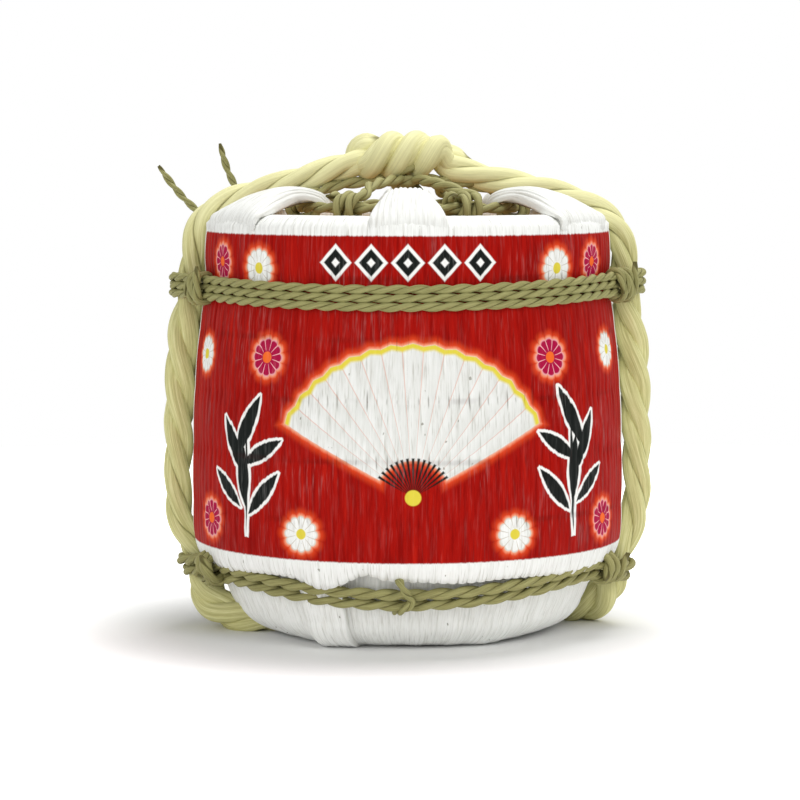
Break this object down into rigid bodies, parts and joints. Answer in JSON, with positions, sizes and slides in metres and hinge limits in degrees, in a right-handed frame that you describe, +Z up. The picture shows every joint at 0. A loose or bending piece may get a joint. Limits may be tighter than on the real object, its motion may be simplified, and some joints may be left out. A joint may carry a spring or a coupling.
{
  "type": "straw-wrapped sake barrel",
  "caption": "Wooden cask for sake, wrapped in a printed straw mat, tied with twine and a thick carry rope knotted on top; a bung lifts out of its head.",
  "frame": {"origin": "centre of the foot, on the surface that the barrel stands on", "axes": "+Z up, -Y towards the printed front, the carry rope goes over the top along X"},
  "size_m": [0.2188, 0.1848, 0.2139],
  "materials": {
    "cedar": "planed, unvarnished",
    "bamboo": "split and shaved",
    "printed_straw": "straw mat, printed red on white",
    "white_straw": "straw mat, bleached white",
    "rice_rope": "three-strand straw rope",
    "fine_twine": "two-ply straw twine",
    "lacing_twine": "two-ply straw twine"
  },
  "bodies": {
    "barrel": {"stave_01": "cedar", "stave_02": "cedar", "stave_03": "cedar", "stave_04": "cedar", "stave_05": "cedar", "stave_06": "cedar", "stave_07": "cedar", "stave_08": "cedar", "stave_09": "cedar", "stave_10": "cedar", "stave_11": "cedar", "stave_12": "cedar", "stave_13": "cedar", "stave_14": "cedar", "top_head_front": "cedar", "top_head_middle": "cedar", "top_head_back": "cedar", "bottom_head_front": "cedar", "bottom_head_middle": "cedar", "bottom_head_back": "cedar", "top_head_pegs": "bamboo", "bottom_head_pegs": "bamboo", "foot_hoop": "bamboo", "lower_hoop": "bamboo", "upper_hoop": "bamboo", "mouth_hoop": "bamboo", "side_mat": "printed_straw", "base_flap_1": "white_straw", "base_flap_2": "white_straw", "base_flap_3": "white_straw", "base_flap_4": "white_straw", "base_flap_5": "white_straw", "base_flap_6": "white_straw", "top_flap_1": "white_straw", "top_flap_2": "white_straw", "top_flap_3": "white_straw", "top_flap_4": "white_straw", "top_flap_5": "white_straw", "top_flap_6": "white_straw", "carry_rope": "rice_rope", "carry_knot_left_end": "rice_rope", "carry_knot_right_end": "rice_rope", "belly_rope": "fine_twine", "waist_lashing_left": "fine_twine", "waist_lashing_right": "fine_twine", "belly_knot": "fine_twine", "front_stitch": "fine_twine", "twine_tail_long": "fine_twine", "twine_tail_short": "fine_twine", "base_rope": "lacing_twine", "base_lashing_left": "lacing_twine", "base_lashing_right": "lacing_twine", "top_lacing": "lacing_twine", "base_lacing": "lacing_twine", "lacing_knot": "lacing_twine", "lacing_ties": "lacing_twine"},
    "bung": {"bung": "cedar"}
  },
  "joints": [
    {"name": "bung_pull", "type": "slide", "parent": "barrel", "child": "bung", "axis": [0, 0, 1], "range_m": [0, 0.03]}
  ]
}
